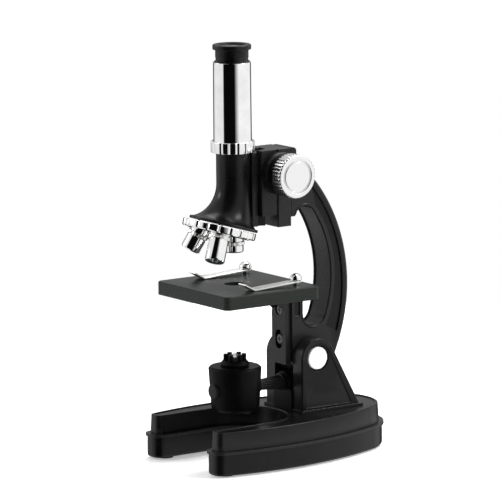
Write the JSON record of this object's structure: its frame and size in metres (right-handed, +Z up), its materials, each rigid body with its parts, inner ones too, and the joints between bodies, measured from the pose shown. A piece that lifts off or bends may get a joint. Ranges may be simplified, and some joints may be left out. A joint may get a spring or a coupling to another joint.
{
  "type": "microscope",
  "caption": "Compound light microscope with a tilting arm, rack focus, revolving nosepiece, square stage with clips and a turn-over lamp and mirror on a horseshoe base.",
  "frame": {"origin": "middle of the base's footprint, on the table", "axes": "+Z up, -Y towards the open toes of the base and the front of the stage, +Y to the heel, +X to the user's right"},
  "size_m": [0.0804, 0.1256, 0.2203],
  "materials": {
    "black_casting": "semi-gloss black enamel",
    "black_plastic": "glossy moulded black",
    "black_matte": "matte moulded black",
    "stage_paint": "semi-gloss dark grey enamel",
    "chrome": "polished chrome plate",
    "bright_steel": "bright zinc-plated steel",
    "spring_steel": "polished spring steel",
    "brass": "machined brass",
    "rubber": "black rubber",
    "cap_white": "plain white disc",
    "lens_glass": "coated optical glass",
    "lens_black": "dark lens mount glass",
    "mirror_glass": "silvered mirror",
    "bulb_glass": "clear bulb glass",
    "battery_wrap": "plain cell sleeve"
  },
  "bodies": {
    "base": {"base_tray": "black_plastic", "base_cover": "black_plastic", "rubber_feet": "rubber", "base_screws": "bright_steel", "battery_door": "black_matte", "batteries": "battery_wrap", "battery_contacts": "bright_steel", "left_upright": "black_casting", "right_upright": "black_casting", "pivot_bolt": "bright_steel", "pivot_nut": "bright_steel", "pivot_washers": "bright_steel", "pivot_caps": "cap_white", "lamp_post": "black_casting", "frame_screws": "bright_steel"},
    "arm": {"arm": "black_casting", "focus_head": "black_casting", "head_screws": "bright_steel", "shaft_housings": "black_plastic", "stage_bracket": "black_casting", "bracket_screws": "bright_steel", "stage": "stage_paint", "stage_screws": "bright_steel"},
    "focus_drive": {"focus_shaft": "bright_steel", "pinion": "brass", "left_focus_knob": "chrome", "right_focus_knob": "chrome"},
    "carriage": {"slide_rail": "black_casting", "rack": "brass", "body_tube": "black_casting", "tube_collar": "chrome", "chrome_tube": "chrome", "turret_screw": "bright_steel", "detent_ball": "bright_steel"},
    "eyepiece": {"eyepiece_housing": "black_plastic", "eye_lens": "lens_glass", "field_lens": "lens_glass", "field_stop": "black_matte"},
    "turret": {"turret_disc": "chrome", "low_objective": "chrome", "mid_objective": "chrome", "high_objective": "chrome", "low_lens": "lens_black", "mid_lens": "lens_black", "high_lens": "lens_black"},
    "left_clip": {"left_clip_spring": "spring_steel", "left_clip_stud": "chrome"},
    "right_clip": {"right_clip_spring": "spring_steel", "right_clip_stud": "chrome"},
    "illuminator": {"lamp_drum": "black_plastic", "lamp_socket": "black_matte", "bulb": "bulb_glass", "mirror": "mirror_glass", "mirror_clips": "black_matte", "lamp_axle": "black_matte", "axle_cap": "black_plastic"}
  },
  "joints": [
    {"name": "arm_tilt", "type": "hinge", "parent": "base", "child": "arm", "pos_m": [0, 0.0152, 0.0518], "axis": [-1, 0, 0], "range_deg": [0, 45]},
    {"name": "focus_travel", "type": "slide", "parent": "arm", "child": "carriage", "axis": [0, 0, 1], "range_m": [-0.0045, 0.014]},
    {"name": "focus_knob", "type": "hinge", "parent": "arm", "child": "focus_drive", "pos_m": [0, -0.004, 0.1515], "axis": [1, 0, 0], "range_deg": [-162, 53]},
    {"name": "turret_turn", "type": "hinge", "parent": "carriage", "child": "turret", "pos_m": [0, -0.03619, 0.12358], "axis": [0, 0.289, 0.9573], "continuous": true},
    {"name": "eyepiece_lift", "type": "slide", "parent": "carriage", "child": "eyepiece", "axis": [0, 0, 1], "range_m": [0, 0.03]},
    {"name": "left_clip_swing", "type": "hinge", "parent": "arm", "child": "left_clip", "pos_m": [-0.0229, -0.0037, 0.094], "axis": [0, 0, 1], "range_deg": [-75, 30]},
    {"name": "right_clip_swing", "type": "hinge", "parent": "arm", "child": "right_clip", "pos_m": [0.0229, -0.0037, 0.094], "axis": [0, 0, 1], "range_deg": [-30, 75]},
    {"name": "lamp_flip", "type": "hinge", "parent": "base", "child": "illuminator", "pos_m": [0, -0.027, 0.0382], "axis": [0, 1, 0], "range_deg": [0, 180]}
  ],
  "couplings": [
    {"joint": "focus_knob", "follows": "focus_travel", "rad_per_m": -200}
  ]
}
